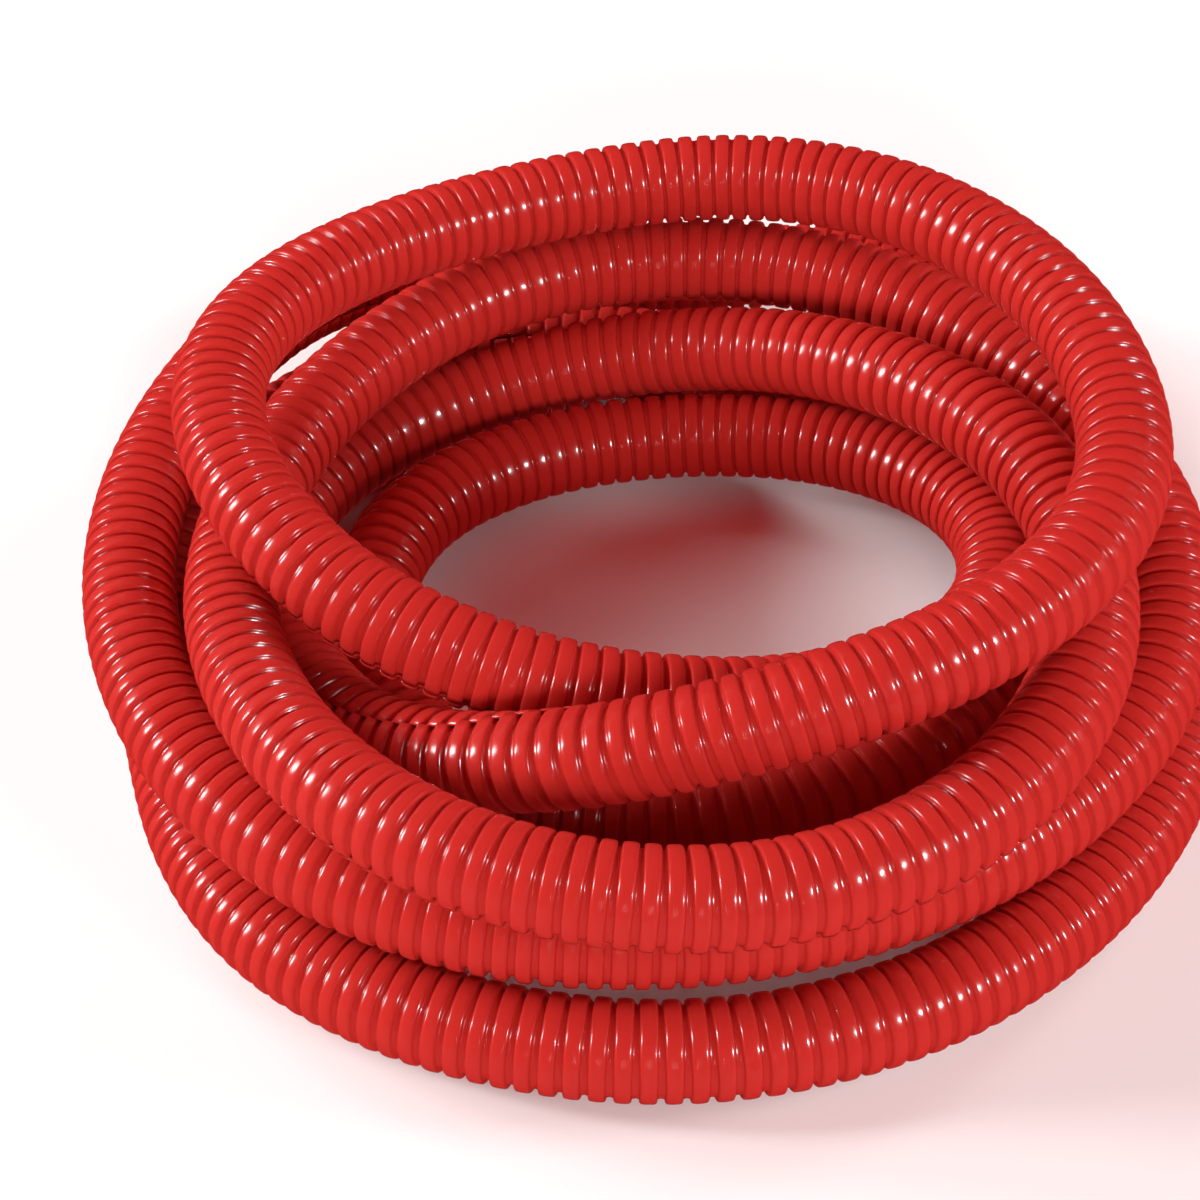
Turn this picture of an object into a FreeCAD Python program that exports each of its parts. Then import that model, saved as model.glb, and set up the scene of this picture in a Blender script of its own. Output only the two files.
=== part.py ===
# A length of split corrugated plastic hose, lying on a flat surface in a loose coil of
# about six turns. Millimetres, +Z up. The origin is in the middle of the coil's bounding
# box at the height of the surface that it lies on, and -Y is the side that is seen in front.
#
# The hose is one piece. It is held here as 13 consecutive hollow spans that meet face to
# face: two short ends and 11 half turns. The ribs and the lengthwise slit are 1.7 mm and
# less, so the spans are smooth tubes of the hose's outer and inner diameters.
import FreeCAD, Part
import math
import os

# ---------------------------------------------------------------- driving dimensions
HOSE_OD = 17.0          # over the ribs
HOSE_ID = 13.0          # clear bore inside the corrugations
ARC_SHARE = 0.45        # share of the shorter run that a bend's tangent takes up
END_POINTS = 2          # bends in each of the two end spans
TURN_POINTS = (6, 7, 6, 7, 6, 7, 6, 7, 6, 7, 6)   # bends in each half turn

# The route of the hose's centreline, from the inner end to the outer end: clockwise seen
# from above, from a floor turn up to the top turn in the middle, and down to the floor again
# outside.
ROUTE = [
    (69.0, -13.4, 8.7), (47.7, -37.1, 9.1), (18.7, -52.2, 9.1), (-11.5, -54.9, 8.9),
    (-37.1, -44.2, 9.0), (-53.3, -22.9, 9.4), (-57.1, 3.0, 9.7), (-48.4, 28.0, 9.5),
    (-26.1, 44.7, 9.1), (3.0, 50.6, 9.9), (31.8, 45.8, 12.7), (53.7, 30.1, 16.9),
    (64.0, 7.1, 21.5), (60.5, -18.0, 25.7), (42.7, -38.8, 29.4), (13.1, -50.4, 33.5),
    (-21.5, -50.6, 38.9), (-53.0, -38.9, 45.7), (-74.3, -16.6, 51.7), (-82.9, 10.7, 53.6),
    (-76.0, 38.1, 51.8), (-54.0, 62.4, 49.0), (-21.0, 79.7, 47.7), (15.6, 85.4, 49.7),
    (48.8, 73.6, 51.6), (72.5, 45.8, 53.2), (82.5, 8.2, 55.0), (76.5, -28.5, 58.2),
    (52.7, -56.7, 58.0), (16.9, -70.6, 53.1), (-20.3, -70.5, 41.6), (-50.2, -54.6, 27.5),
    (-69.2, -23.5, 18.0), (-76.5, 11.5, 12.3), (-66.8, 40.6, 9.4), (-42.7, 60.2, 10.8),
    (-8.0, 66.3, 18.7), (29.1, 55.2, 28.5), (59.5, 28.2, 36.3), (75.1, -9.8, 39.9),
    (71.0, -49.8, 40.9), (48.1, -82.3, 40.5), (12.9, -99.2, 41.0), (-25.9, -96.4, 42.9),
    (-58.1, -74.4, 42.3), (-76.8, -37.5, 37.0), (-78.2, 5.3, 30.6), (-62.8, 45.7, 28.7),
    (-33.2, 73.8, 30.0), (6.5, 82.8, 31.8), (46.9, 70.8, 32.3), (78.9, 40.4, 30.2),
    (94.4, 0.6, 28.1), (86.2, -40.4, 25.3), (55.7, -73.7, 22.8), (10.6, -91.6, 22.9),
    (-37.2, -89.8, 24.0), (-75.7, -66.2, 25.4), (-98.0, -24.8, 27.2), (-98.4, 24.5, 27.5),
    (-77.0, 72.3, 27.9), (-43.0, 96.1, 19.5), (3.0, 102.2, 9.2), (49.5, 104.1, 16.5),
    (90.0, 58.1, 12.5), (101.0, 0.9, 9.5), (88.6, -50.3, 8.7), (54.1, -88.7, 8.8),
    (6.7, -105.5, 9.2), (-41.8, -98.3, 9.7), (-78.1, -71.4, 8.3), (-93.2, -21.4, 9.0),
    (-96.0, 18.6, 9.0), (-80.6, 53.4, 8.9), (-46.8, 80.2, 8.9), (2.0, 81.2, 8.9),
    (46.0, 66.6, 9.0),
]


def vec(p):
    return FreeCAD.Vector(*p)


def bend(before, point, after):
    """Start, middle and end of the arc at a route point, with its radius and turn."""
    a = (point - before).normalize()
    b = (after - point).normalize()
    turn = math.acos(max(-1.0, min(1.0, a.dot(b))))
    cut = ARC_SHARE * min((point - before).Length, (after - point).Length)
    radius = cut / math.tan(turn / 2)
    start, end = point - a * cut, point + b * cut
    inward = (b - a).normalize()
    centre = point + inward * (radius / math.cos(turn / 2))
    middle = centre - inward * radius
    return start, middle, end, radius, turn


def tube(points, first, last):
    """Hollow tube along the bends first..last, from the middle of one run to the middle of the next.
    The route's own ends are used where there is no run before or after."""
    def run_middle(i):
        return (points[i] + points[i + 1]) * 0.5
    cur = points[0] if first == 1 else run_middle(first - 1)
    stop = points[-1] if last == len(points) - 2 else run_middle(last)
    edges, length, radii = [], 0.0, []
    for i in range(first, last + 1):
        start, middle, end, radius, turn = bend(points[i - 1], points[i], points[i + 1])
        edges.append(Part.LineSegment(cur, start).toShape())
        length += (start - cur).Length
        edges.append(Part.Arc(start, middle, end).toShape())
        length += radius * turn
        radii.append(radius)
        cur = end
    edges.append(Part.LineSegment(cur, stop).toShape())
    length += (stop - cur).Length
    path = Part.Wire(edges)
    origin = points[0] if first == 1 else run_middle(first - 1)
    along = (points[first] - points[first - 1]).normalize()
    outer = Part.Wire([Part.makeCircle(HOSE_OD / 2, origin, along)])
    inner = Part.Wire([Part.makeCircle(HOSE_ID / 2, origin, along)])
    solid = path.makePipeShell([outer], True, False).cut(path.makePipeShell([inner], True, False))
    if solid.ShapeType != "Solid":
        solid = solid.Solids[0]
    return solid, length, radii


def main():
    os.makedirs("parts", exist_ok=True)
    points = [vec(p) for p in ROUTE]
    section = math.pi / 4 * (HOSE_OD ** 2 - HOSE_ID ** 2)
    counts = (END_POINTS,) + TURN_POINTS + (END_POINTS,)
    assert sum(counts) == len(points) - 2, (sum(counts), len(points))
    names = (["hose_inner_end"] + ["hose_half_turn_%02d" % k for k in range(1, len(TURN_POINTS) + 1)]
             + ["hose_outer_end"])
    total, first, all_radii = 0.0, 1, []
    for name, count in zip(names, counts):
        last = first + count - 1
        solid, length, radii = tube(points, first, last)
        ratio = solid.Volume / (section * length)
        print("%-18s length %7.2f  volume/(section*length) %.5f  radii %s  valid %s"
              % (name, length, ratio, " ".join("%.0f" % r for r in radii), solid.isValid()))
        solid.exportStep("parts/%s.step" % name)
        total += length
        all_radii += radii
        first = last + 1
    print("hose length %.1f mm, %d bends, smallest radius %.1f mm" % (total, len(all_radii), min(all_radii)))


main()
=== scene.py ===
# Looks of a length of split corrugated plastic hose that lies in a loose coil of about six
# turns. Metres, +Z up, the same frame as the solids.
import bpy
import math
import numpy as np
from mathutils import Matrix, Vector


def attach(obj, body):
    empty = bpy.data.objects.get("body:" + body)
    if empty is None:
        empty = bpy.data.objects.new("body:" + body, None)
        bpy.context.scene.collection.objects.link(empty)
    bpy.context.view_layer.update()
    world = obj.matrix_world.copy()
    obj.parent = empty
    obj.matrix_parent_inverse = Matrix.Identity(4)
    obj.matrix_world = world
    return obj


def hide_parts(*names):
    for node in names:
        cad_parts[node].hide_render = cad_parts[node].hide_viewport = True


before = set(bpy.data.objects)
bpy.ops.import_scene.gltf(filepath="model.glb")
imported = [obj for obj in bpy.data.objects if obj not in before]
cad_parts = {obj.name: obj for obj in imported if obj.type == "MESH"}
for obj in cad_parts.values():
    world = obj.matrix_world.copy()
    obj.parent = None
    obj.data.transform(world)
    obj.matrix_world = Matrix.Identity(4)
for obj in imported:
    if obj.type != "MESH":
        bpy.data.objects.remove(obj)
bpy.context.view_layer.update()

# ------------------------------------------------------------------ camera
# The photograph is taken from in front, 44 degrees above the floor, at a short distance.
cam_data = bpy.data.cameras.new("camera")
cam_data.sensor_fit = "HORIZONTAL"
cam_data.sensor_width = 36.0
cam_data.lens = 79.185
cam_data.shift_x = 0.00203
cam_data.shift_y = 0.00005
cam_data.clip_start = 0.01
cam_data.clip_end = 50.0
camera = bpy.data.objects.new("camera", cam_data)
bpy.context.scene.collection.objects.link(camera)
cam_right = Vector((0.9999985, 0.00120075, 0.0012462))
cam_up = Vector((-0.00173055, 0.69385294, 0.72011464))
cam_back = Vector((0.0, -0.72011572, 0.69385398))
cam_rot = Matrix((cam_right, cam_up, cam_back)).transposed().to_4x4()
camera.matrix_world = Matrix.Translation((-0.01238, -0.35950, 0.35776)) @ cam_rot
bpy.context.scene.camera = camera

# ------------------------------------------------------------------ hose: sizes and route
OD = 0.017            # over the ribs
WALL = 0.0005         # wall thickness
PITCH = 0.00375       # usual distance from rib to rib
R_TOP = OD / 2        # top of a rib
R_LOW = 0.0075        # bottom of a groove, outside
AROUND = 32           # outer faces round the section

ROUTE = [
    (0.0690, -0.0134, 0.0087), (0.0477, -0.0371, 0.0091), (0.0187, -0.0522, 0.0091), (-0.0115, -0.0549, 0.0089),
    (-0.0371, -0.0442, 0.0090), (-0.0533, -0.0229, 0.0094), (-0.0571, 0.0030, 0.0097), (-0.0484, 0.0280, 0.0095),
    (-0.0261, 0.0447, 0.0091), (0.0030, 0.0506, 0.0099), (0.0318, 0.0458, 0.0127), (0.0537, 0.0301, 0.0169),
    (0.0640, 0.0071, 0.0215), (0.0605, -0.0180, 0.0257), (0.0427, -0.0388, 0.0294), (0.0131, -0.0504, 0.0335),
    (-0.0215, -0.0506, 0.0389), (-0.0530, -0.0389, 0.0457), (-0.0743, -0.0166, 0.0517), (-0.0829, 0.0107, 0.0536),
    (-0.0760, 0.0381, 0.0518), (-0.0540, 0.0624, 0.0490), (-0.0210, 0.0797, 0.0477), (0.0156, 0.0854, 0.0497),
    (0.0488, 0.0736, 0.0516), (0.0725, 0.0458, 0.0532), (0.0825, 0.0082, 0.0550), (0.0765, -0.0285, 0.0582),
    (0.0527, -0.0567, 0.0580), (0.0169, -0.0706, 0.0531), (-0.0203, -0.0705, 0.0416), (-0.0502, -0.0546, 0.0275),
    (-0.0692, -0.0235, 0.0180), (-0.0765, 0.0115, 0.0123), (-0.0668, 0.0406, 0.0094), (-0.0427, 0.0602, 0.0108),
    (-0.0080, 0.0663, 0.0187), (0.0291, 0.0552, 0.0285), (0.0595, 0.0282, 0.0363), (0.0751, -0.0098, 0.0399),
    (0.0710, -0.0498, 0.0409), (0.0481, -0.0823, 0.0405), (0.0129, -0.0992, 0.0410), (-0.0259, -0.0964, 0.0429),
    (-0.0581, -0.0744, 0.0423), (-0.0768, -0.0375, 0.0370), (-0.0782, 0.0053, 0.0306), (-0.0628, 0.0457, 0.0287),
    (-0.0332, 0.0738, 0.0300), (0.0065, 0.0828, 0.0318), (0.0469, 0.0708, 0.0323), (0.0789, 0.0404, 0.0302),
    (0.0944, 0.0006, 0.0281), (0.0862, -0.0404, 0.0253), (0.0557, -0.0737, 0.0228), (0.0106, -0.0916, 0.0229),
    (-0.0372, -0.0898, 0.0240), (-0.0757, -0.0662, 0.0254), (-0.0980, -0.0248, 0.0272), (-0.0984, 0.0245, 0.0275),
    (-0.0770, 0.0723, 0.0279), (-0.0430, 0.0961, 0.0195), (0.0030, 0.1022, 0.0092), (0.0495, 0.1041, 0.0165),
    (0.0900, 0.0581, 0.0125), (0.1010, 0.0009, 0.0095), (0.0886, -0.0503, 0.0087), (0.0541, -0.0887, 0.0088),
    (0.0067, -0.1055, 0.0092), (-0.0418, -0.0983, 0.0097), (-0.0781, -0.0714, 0.0083), (-0.0932, -0.0214, 0.0090),
    (-0.0960, 0.0186, 0.0090), (-0.0806, 0.0534, 0.0089), (-0.0468, 0.0802, 0.0089), (0.0020, 0.0812, 0.0089),
    (0.0460, 0.0666, 0.0090),
]

# The route's smooth line: one quadratic spline that ends at its first and last points.
line_data = bpy.data.curves.new("hose_line", "CURVE")
line_data.dimensions = "3D"
spline = line_data.splines.new("NURBS")
spline.points.add(len(ROUTE) - 1)
for point, place in zip(spline.points, ROUTE):
    point.co = (*place, 1.0)
spline.order_u = 3
spline.use_endpoint_u = True
spline.resolution_u = 32
line_object = bpy.data.objects.new("hose_line", line_data)
line_mesh = bpy.data.meshes.new_from_object(line_object)
path = np.array([v.co for v in line_mesh.vertices], float)
bpy.data.objects.remove(line_object)
bpy.data.curves.remove(line_data)
bpy.data.meshes.remove(line_mesh)

step = np.linalg.norm(np.diff(path, axis=0), axis=1)
along = np.concatenate([[0.0], np.cumsum(step)])
LENGTH = float(along[-1])
SPANS = len(ROUTE) - 2                    # the spline's own parameter runs from 0 to SPANS
at_span = np.linspace(0.0, SPANS, len(path))


def smooth(values, width):
    """Running mean over 2*width+1 samples, with the ends held."""
    padded = np.concatenate([np.repeat(values[:1], width, 0), values, np.repeat(values[-1:], width, 0)])
    kernel = np.ones(2 * width + 1) / (2 * width + 1)
    return np.stack([np.convolve(padded[:, k], kernel, "valid") for k in range(values.shape[1])], 1)


FINE = 0.0006
s_fine = np.linspace(0.0, LENGTH, int(LENGTH / FINE))
c_fine = np.stack([np.interp(s_fine, along, path[:, k]) for k in range(3)], 1)
t_fine = np.gradient(c_fine, s_fine, axis=0)
t_fine = smooth(t_fine, 3)
t_fine /= np.linalg.norm(t_fine, axis=1)[:, None]
k_fine = smooth(np.gradient(smooth(t_fine, 8), s_fine, axis=0), 12)   # curvature vector
left_fine = np.cross((0.0, 0.0, 1.0), t_fine)                          # outward on the coil
left_fine /= np.linalg.norm(left_fine, axis=1)[:, None]
up_fine = np.cross(t_fine, left_fine)
bend_left = (k_fine * left_fine).sum(1)
bend_up = (k_fine * up_fine).sum(1)
span_fine = np.interp(s_fine, along, at_span)


def keyed(keys, where):
    """Smooth curve through (span, value) keys."""
    x = np.array([k[0] for k in keys], float)
    y = np.array([k[1] for k in keys], float)
    i = np.clip(np.searchsorted(x, where, "right") - 1, 0, len(x) - 2)
    t = np.clip((where - x[i]) / (x[i + 1] - x[i]), 0.0, 1.0)
    m = np.gradient(y, x)
    h = x[i + 1] - x[i]
    return ((2 * t**3 - 3 * t**2 + 1) * y[i] + (t**3 - 2 * t**2 + t) * h * m[i]
            + (-2 * t**3 + 3 * t**2) * y[i + 1] + (t**3 - t**2) * h * m[i + 1])


# Ribs passed at equal steps along the hose. The spacing drifts, because the hose is a
# little stretched in some stretches and pushed together in others.
RIBS_PASSED = [
    0.00, 5.25, 10.20, 15.18, 20.56, 27.11, 33.29, 39.24, 45.11, 50.75, 56.42, 62.22, 68.12, 74.24,
    80.46, 86.32, 92.11, 98.03, 103.99, 109.95, 115.87, 121.63, 127.51, 133.68, 140.41, 146.89, 153.15,
    159.32, 165.40, 171.33, 177.31, 183.43, 189.52, 195.34, 200.93, 206.33, 211.17, 216.22, 221.59,
    227.34, 233.48, 239.49, 245.41, 251.20, 256.96, 262.65, 268.20, 273.74, 279.06, 284.07, 289.40,
    295.13, 301.06, 307.10, 313.03, 318.57, 323.86, 329.21, 334.67, 340.26, 345.88, 351.56, 357.32,
    363.19, 369.23, 375.26, 381.14, 386.97, 392.57, 398.17, 403.82, 409.03, 414.31, 419.66, 425.17,
    430.83, 436.48, 442.16, 447.97, 453.69, 459.00, 464.76, 470.62, 476.66, 482.76, 488.66, 494.46,
    500.32, 506.36, 512.55, 518.68, 524.79, 531.05, 537.16, 543.22, 549.27, 555.17, 561.03, 566.90,
    572.77, 578.64, 584.51, 590.38, 596.24, 602.11, 607.97, 613.84, 619.72, 625.62, 631.56, 637.62,
    643.92, 650.50, 656.84, 662.94, 668.84, 674.50, 680.21, 686.23, 692.64, 699.25, 705.88, 712.17,
    718.22, 724.16, 730.05, 735.92, 741.77, 747.62, 753.47, 759.31, 765.16, 771.00,
]
RIBS = int(RIBS_PASSED[-1])
count_fine = keyed(list(zip(np.linspace(0.0, LENGTH, len(RIBS_PASSED)), RIBS_PASSED)), s_fine)
pitch_fine = 1.0 / np.gradient(count_fine, s_fine)

# Where the lengthwise slit lies round the section, in degrees: 0 is the outer side of the
# coil, 90 the top, 180 the inner side. It winds slowly round the hose.
SLIT_KEYS = [(0, -70), (3, -75), (6, -50), (9, -5), (12, 0), (14, -12), (16, -21), (17.2, -33),
             (20, -78), (22.9, -104), (25, -124), (26.5, -150), (28, -182), (29.3, -212), (29.7, -250),
             (29.95, -272), (30.2, -281), (30.6, -292), (33, -330), (37, -375),
             (40.5, -387), (42, -397), (43.5, -385), (46, -405), (50, -445), (54, -488), (59, -530),
             (66, -557), (69, -560), (75, -600)]
slit_fine = np.radians(keyed(SLIT_KEYS, span_fine))
GAP_KEYS = [(0, 0.5), (14, 0.5), (16.5, 0.7), (20, 0.5), (23, 0.6), (28, 0.3), (30, 0.12), (33, 0.4),
            (41, 0.7), (43, 0.7), (50, 0.5), (75, 0.5)]                    # slit width, mm
gap_fine = np.clip(keyed(GAP_KEYS, span_fine), 0.1, 1.2) * 1e-3
# How far the two sides of the slit have slipped along each other, in rib spacings.
SLIP_KEYS = [(0, 0.05), (14, 0.1), (22, 0.0), (27, 0.3), (30, 0.5), (33, 0.25), (40, 0.0), (50, -0.1),
             (60, 0.1), (75, 0.0)]
slip_fine = keyed(SLIP_KEYS, span_fine)


def at(values, s):
    if values.ndim == 1:
        return np.interp(s, s_fine, values)
    return np.stack([np.interp(s, s_fine, values[:, k]) for k in range(values.shape[1])], -1)


# ------------------------------------------------------------------ hose: shape of one rib
# Each row is a place across a rib: its distance from the rib's middle as a share of half
# the rib's width (beyond 1: share of the way over the groove's wall), and the radii there.
# (share of half width, outer radius, share of half width inside, inner radius)
RIB_HALF = 0.385      # half of a rib's width, in rib spacings
CROSS = [
    (-1.00, R_TOP - 0.00085, -0.66, R_TOP - 0.00085 - WALL),
    (-0.955, R_TOP - 0.00045, -0.65, R_TOP - 0.00050 - WALL),
    (-0.86, R_TOP - 0.00020, -0.62, R_TOP - 0.00025 - WALL),
    (-0.68, R_TOP - 0.00007, -0.54, R_TOP - 0.00010 - WALL),
    (-0.38, R_TOP - 0.00002, -0.30, R_TOP - 0.00002 - WALL),
    (0.00, R_TOP, 0.0, R_TOP - WALL),
    (0.38, R_TOP - 0.00002, 0.30, R_TOP - 0.00002 - WALL),
    (0.68, R_TOP - 0.00007, 0.54, R_TOP - 0.00010 - WALL),
    (0.86, R_TOP - 0.00020, 0.62, R_TOP - 0.00025 - WALL),
    (0.955, R_TOP - 0.00045, 0.65, R_TOP - 0.00050 - WALL),
    (1.00, R_TOP - 0.00085, 0.66, R_TOP - 0.00085 - WALL),
]
FOOT_OUT, FOOT_IN = R_LOW + 0.00010, R_LOW - WALL + 0.00002

INSIDE = AROUND // 2
n_out, n_in = AROUND + 1, INSIDE + 1
per_ring = n_out + n_in
rows = []           # one entry for each ring: rib index, kind


def ring_points(rib, kind, share_out, r_out, share_in, r_in):
    """Points of one closed ring: the outer surface from one side of the slit to the other, then the inner one back."""
    middle = np.interp(rib + 0.5, count_fine, s_fine)
    out = []
    for radius, share, n in ((r_out, share_out, n_out), (r_in, share_in, n_in)):
        turn = np.linspace(0.0, 1.0, n)
        if n == n_in:
            turn = turn[::-1]
        slit = at(slit_fine, middle)
        half_gap = at(gap_fine, middle) / 2 / R_TOP
        angle = slit + half_gap + turn * (2 * math.pi - 2 * half_gap)
        base = middle + at(slip_fine, middle) * at(pitch_fine, middle) * (turn - 0.5)
        base = np.clip(base, 0.0, LENGTH)
        stretch = 1 - radius * (at(bend_left, base) * np.cos(angle) + at(bend_up, base) * np.sin(angle))
        stretch = np.clip(stretch, 0.55, 1.6)
        pitch = at(pitch_fine, base)
        room = pitch * stretch                                # rib to rib on this side
        half = np.minimum(RIB_HALF * pitch, 0.5 * room - 0.00016)
        if kind == "rib":
            offset = share * half
        elif kind == "foot":
            if n == n_out:
                offset = share * np.minimum(half + 0.00014, 0.5 * room - 0.00006)
            else:
                offset = share * np.minimum(half - 0.00025, 0.5 * room - 0.00010)
        else:
            offset = share * 0.5 * room
        s = np.clip(base + offset / stretch, 0.0, LENGTH)
        centre, left, up = at(c_fine, s), at(left_fine, s), at(up_fine, s)
        out.append(centre + radius * (np.cos(angle)[:, None] * left + np.sin(angle)[:, None] * up))
    return np.concatenate(out)


rings = [ring_points(0, "groove", -1.0, R_LOW, -1.0, R_LOW - WALL)]
for rib in range(RIBS):
    rings.append(ring_points(rib, "foot", -1.0, FOOT_OUT, -1.0, FOOT_IN))
    for share_out, r_out, share_in, r_in in CROSS:
        rings.append(ring_points(rib, "rib", share_out, r_out, share_in, r_in))
    rings.append(ring_points(rib, "foot", 1.0, FOOT_OUT, 1.0, FOOT_IN))
    rings.append(ring_points(rib, "groove", 1.0, R_LOW, 1.0, R_LOW - WALL))
verts = np.concatenate(rings)
n_rings = len(rings)

ring0 = np.arange(n_rings - 1)[:, None] * per_ring
k = np.arange(per_ring)[None, :]
k2 = (k + 1) % per_ring
quads = np.stack([ring0 + k, ring0 + k2, ring0 + per_ring + k2, ring0 + per_ring + k], -1).reshape(-1, 4)


def cap(first, flip):
    """Faces that close one cut end, between the outer and the inner surface."""
    faces = []
    for j in range(INSIDE):
        outer = [first + 2 * j, first + 2 * j + 1, first + 2 * j + 2]
        inner = [first + per_ring - 1 - (j + 1), first + per_ring - 1 - j]
        face = outer + inner
        faces.append(face[::-1] if flip else face)
    return faces


faces = quads[:, ::-1].tolist() + cap(0, False) + cap((n_rings - 1) * per_ring, True)
mesh = bpy.data.meshes.new("hose")
mesh.from_pydata(verts.tolist(), [], faces)
mesh.update()
mesh.polygons.foreach_set("use_smooth", np.ones(len(mesh.polygons), bool))
mesh.update()
hose = bpy.data.objects.new("hose", mesh)
bpy.context.scene.collection.objects.link(hose)

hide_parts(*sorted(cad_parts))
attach(hose, "root")

# ------------------------------------------------------------------ hose: plastic
plastic = bpy.data.materials.new("hose_plastic_glossy_red")
plastic.use_nodes = True
nodes, links = plastic.node_tree.nodes, plastic.node_tree.links
nodes.clear()
out_node = nodes.new("ShaderNodeOutputMaterial")
shader = nodes.new("ShaderNodeBsdfPrincipled")
links.new(shader.outputs["BSDF"], out_node.inputs["Surface"])
coords = nodes.new("ShaderNodeTexCoord")

cloud = nodes.new("ShaderNodeTexNoise")          # slow drift of the pigment
cloud.inputs["Scale"].default_value = 22.0
cloud.inputs["Detail"].default_value = 3.0
links.new(coords.outputs["Object"], cloud.inputs["Vector"])
tint = nodes.new("ShaderNodeMix")
tint.data_type = "RGBA"
tint.inputs["A"].default_value = (0.385, 0.0125, 0.0098, 1.0)
tint.inputs["B"].default_value = (0.425, 0.0142, 0.0112, 1.0)
links.new(cloud.outputs["Fac"], tint.inputs["Factor"])
links.new(tint.outputs["Result"], shader.inputs["Base Color"])

gloss = nodes.new("ShaderNodeTexNoise")          # uneven gloss
gloss.inputs["Scale"].default_value = 260.0
gloss.inputs["Detail"].default_value = 2.0
links.new(coords.outputs["Object"], gloss.inputs["Vector"])
rough = nodes.new("ShaderNodeMapRange")
rough.inputs["From Min"].default_value = 0.3
rough.inputs["From Max"].default_value = 0.7
rough.inputs["To Min"].default_value = 0.14
rough.inputs["To Max"].default_value = 0.19
links.new(gloss.outputs["Fac"], rough.inputs["Value"])
links.new(rough.outputs["Result"], shader.inputs["Roughness"])

wave = nodes.new("ShaderNodeTexNoise")           # faint unevenness left by moulding
wave.inputs["Scale"].default_value = 420.0
wave.inputs["Detail"].default_value = 2.0
links.new(coords.outputs["Object"], wave.inputs["Vector"])
bump = nodes.new("ShaderNodeBump")
bump.inputs["Strength"].default_value = 0.10
bump.inputs["Distance"].default_value = 0.0003
links.new(wave.outputs["Fac"], bump.inputs["Height"])
links.new(bump.outputs["Normal"], shader.inputs["Normal"])
shader.inputs["IOR"].default_value = 1.49
shader.inputs["Specular IOR Level"].default_value = 0.4
hose.data.materials.append(plastic)

# ------------------------------------------------------------------ floor and light
floor_mesh = bpy.data.meshes.new("floor")
floor_rim = [(1.15 * math.cos(math.tau * k / 96), 1.15 * math.sin(math.tau * k / 96), 0.0) for k in range(96)]
floor_mesh.from_pydata(floor_rim, [], [tuple(range(96))])
floor = bpy.data.objects.new("floor", floor_mesh)
floor.location.z = -0.0002
bpy.context.scene.collection.objects.link(floor)
paper = bpy.data.materials.new("floor_white")
paper.use_nodes = True
base = paper.node_tree.nodes["Principled BSDF"]
base.inputs["Base Color"].default_value = (0.90, 0.895, 0.89, 1.0)
base.inputs["Roughness"].default_value = 0.9
base.inputs["Specular IOR Level"].default_value = 0.1
floor.data.materials.append(paper)
floor.visible_glossy = False          # the plastic mirrors the lamps, not the bright sheet

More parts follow.
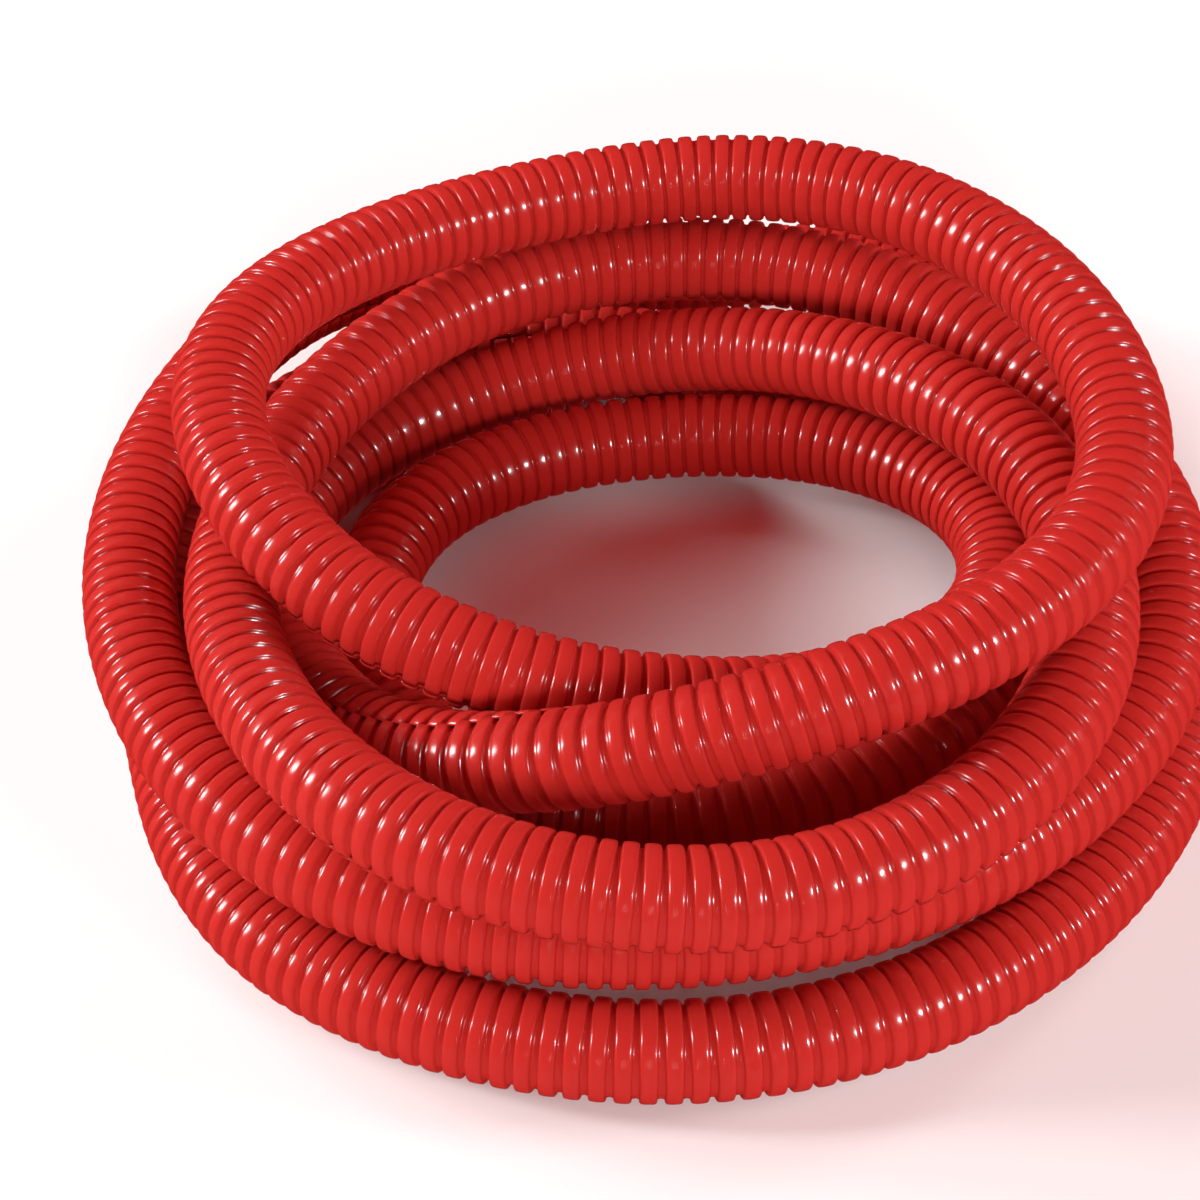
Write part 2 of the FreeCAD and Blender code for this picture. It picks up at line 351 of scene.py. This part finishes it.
# pale studio wall all round, seen only where a view looks past the sheet
wall_ring = [(5.5 * math.cos(math.tau * k / 64), 5.5 * math.sin(math.tau * k / 64)) for k in range(64)]
wall_mesh = bpy.data.meshes.new("studio_wall")
wall_mesh.from_pydata([(x, y, z) for z in (-4.0, 4.0) for x, y in wall_ring], [],
                      [(k, (k + 1) % 64, 64 + (k + 1) % 64, 64 + k) for k in range(64)])
wall = bpy.data.objects.new("studio_wall", wall_mesh)
bpy.context.scene.collection.objects.link(wall)
wall_look = bpy.data.materials.new("studio_wall_pale")
wall_look.use_nodes = True
wall_base = wall_look.node_tree.nodes["Principled BSDF"]
wall_base.inputs["Base Color"].default_value = (0.0, 0.0, 0.0, 1.0)
wall_base.inputs["Specular IOR Level"].default_value = 0.0
wall_base.inputs["Emission Color"].default_value = (0.93, 0.915, 0.91, 1.0)
wall_base.inputs["Emission Strength"].default_value = 1.0
wall_mesh.materials.append(wall_look)
wall.visible_diffuse = wall.visible_glossy = wall.visible_shadow = wall.visible_transmission = False


def lamp(name, azimuth, elevation, size, size_y, power, mirrored=False):
    """Soft area lamp 1.8 m away that points at the coil. Azimuth 0 is towards the viewer, 90 to the right.
    A mirrored lamp only makes the highlights, the others only the soft light."""
    data = bpy.data.lights.new(name, "AREA")
    data.shape = "RECTANGLE"
    data.size = size
    data.size_y = size_y
    data.energy = power
    a, e = math.radians(azimuth), math.radians(elevation)
    aim = Vector((0.0, 0.0136, 0.03))
    place = aim + 1.8 * Vector((math.cos(e) * math.sin(a), -math.cos(e) * math.cos(a), math.sin(e)))
    lamp_object = bpy.data.objects.new(name, data)
    lamp_object.matrix_world = Matrix.Translation(place) @ (aim - place).to_track_quat("-Z", "Y").to_matrix().to_4x4()
    lamp_object.visible_glossy = mirrored
    lamp_object.visible_diffuse = not mirrored
    bpy.context.scene.collection.objects.link(lamp_object)


lamp("key_left", -90, 24.5, 0.30, 0.50, 21.5)
lamp("side_left", -108, 24, 0.50, 0.50, 17.0)
lamp("back_left", -127, 29, 0.50, 0.50, 7.2)
lamp("back", -145, 40, 0.50, 0.50, 4.8)
lamp("front", 0, 22, 0.50, 0.50, 22.0)
lamp("front_right", 51, 31, 0.30, 0.30, 3.65)
lamp("right", 90, 17, 0.50, 0.50, 19.0)
lamp("back_right", 130, 24, 0.50, 0.50, 8.0)
lamp("shine_left", -90, 24.5, 0.26, 0.50, 50.0, mirrored=True)
lamp("shine_right", 51, 31, 0.16, 0.16, 25.0, mirrored=True)

world = bpy.data.worlds.new("world")
bpy.context.scene.world = world
world.use_nodes = True
sky = world.node_tree.nodes["Background"]
sky.inputs["Color"].default_value = (1.0, 0.03, 0.03, 1.0)
sky.inputs["Strength"].default_value = 0.24

view = bpy.context.scene.view_settings
view.view_transform = "Standard"
view.look = "None"
view.exposure = 0.0
view.gamma = 1.15
